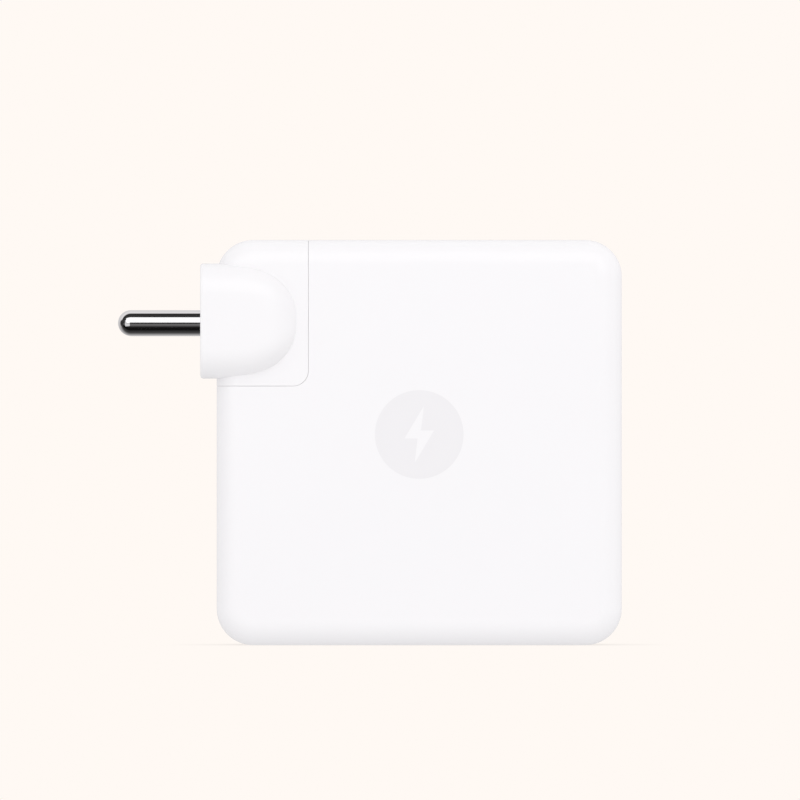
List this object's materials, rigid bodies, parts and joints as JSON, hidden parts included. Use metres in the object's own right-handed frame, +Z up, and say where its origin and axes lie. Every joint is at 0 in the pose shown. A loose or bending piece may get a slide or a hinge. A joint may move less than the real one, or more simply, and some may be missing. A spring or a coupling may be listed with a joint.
{
  "type": "laptop power adapter",
  "caption": "Square white USB-C laptop power adapter with a removable corner plug head that carries round mains pins.",
  "frame": {"origin": "centre of the narrow bottom face that the adapter can stand on, midway between its front and rear faces", "axes": "+X to the right seen from the front, away from the mains pins; +Y from the front face to the rear face; +Z up, the way the plug head slides off"},
  "size_m": [0.0995, 0.0356, 0.08],
  "materials": {
    "white_housing": "satin",
    "white_moulding": "satin",
    "retainer_plastic": "matte",
    "nickel_plate": "polished",
    "stud_steel": "satin",
    "socket_steel": "satin",
    "gold_plate": "satin",
    "header_tin": "satin",
    "contact_bronze": "satin",
    "tongue_black": "matte",
    "board_green": "satin",
    "lead_brown": "satin",
    "lead_blue": "satin",
    "lead_green": "satin",
    "fuse_ceramic": "matte",
    "fuse_nickel": "satin",
    "ferrite": "matte",
    "choke_ferrite": "satin",
    "copper_wire": "gloss",
    "winding_tape": "satin",
    "bobbin_plastic": "matte",
    "film_capacitor_grey": "matte",
    "epoxy_black": "matte",
    "capacitor_sleeve": "satin",
    "can_aluminium": "satin",
    "sheet_aluminium": "satin",
    "disc_blue": "satin",
    "coupler_white": "matte",
    "insulation_film": "satin",
    "thermal_pad": "matte"
  },
  "bodies": {
    "brick": {"front_shell": "white_housing", "rear_shell": "white_housing", "inlet_block": "white_moulding", "inlet_pin_front": "nickel_plate", "inlet_pin_rear": "nickel_plate", "latch_stud": "stud_steel", "usb_c_receptacle": "socket_steel", "usb_c_contacts": "gold_plate", "board_link_pins": "header_tin", "usb_c_tongue": "tongue_black", "main_board": "board_green", "output_board": "board_green", "inlet_lead_front": "lead_brown", "inlet_lead_rear": "lead_blue", "ground_lead": "lead_green", "fuse_body": "fuse_ceramic", "fuse_caps": "fuse_nickel", "transformer_core": "ferrite", "pfc_inductor_core": "ferrite", "choke_core": "choke_ferrite", "choke_windings": "copper_wire", "pfc_inductor_winding": "copper_wire", "transformer_winding": "winding_tape", "transformer_bobbin": "bobbin_plastic", "x_capacitor": "film_capacitor_grey", "bridge_rectifier": "epoxy_black", "switching_transistor_1": "epoxy_black", "switching_transistor_2": "epoxy_black", "controller_chip": "epoxy_black", "sync_rectifier": "epoxy_black", "power_delivery_chip": "epoxy_black", "bulk_capacitor_1": "capacitor_sleeve", "bulk_capacitor_2": "capacitor_sleeve", "bulk_capacitor_3": "capacitor_sleeve", "output_capacitor_1": "can_aluminium", "output_capacitor_2": "can_aluminium", "output_capacitor_3": "can_aluminium", "front_heat_spreader": "sheet_aluminium", "rear_heat_spreader": "sheet_aluminium", "primary_heat_sink": "sheet_aluminium", "y_capacitor": "disc_blue", "optocoupler": "coupler_white", "front_insulation": "insulation_film", "rear_insulation": "insulation_film", "transformer_pad": "thermal_pad"},
    "plug_head": {"plug_head_shell": "white_housing", "plug_head_insert": "white_moulding", "pin_retainer": "retainer_plastic", "plug_pin_front": "nickel_plate", "plug_pin_rear": "nickel_plate", "contact_strip_front": "contact_bronze", "contact_strip_rear": "contact_bronze", "contact_sleeve_front": "contact_bronze", "contact_sleeve_rear": "contact_bronze"}
  },
  "joints": [
    {"name": "plug_head_slide", "type": "slide", "parent": "brick", "child": "plug_head", "axis": [0, 0, 1], "range_m": [0, 0.042]}
  ]
}
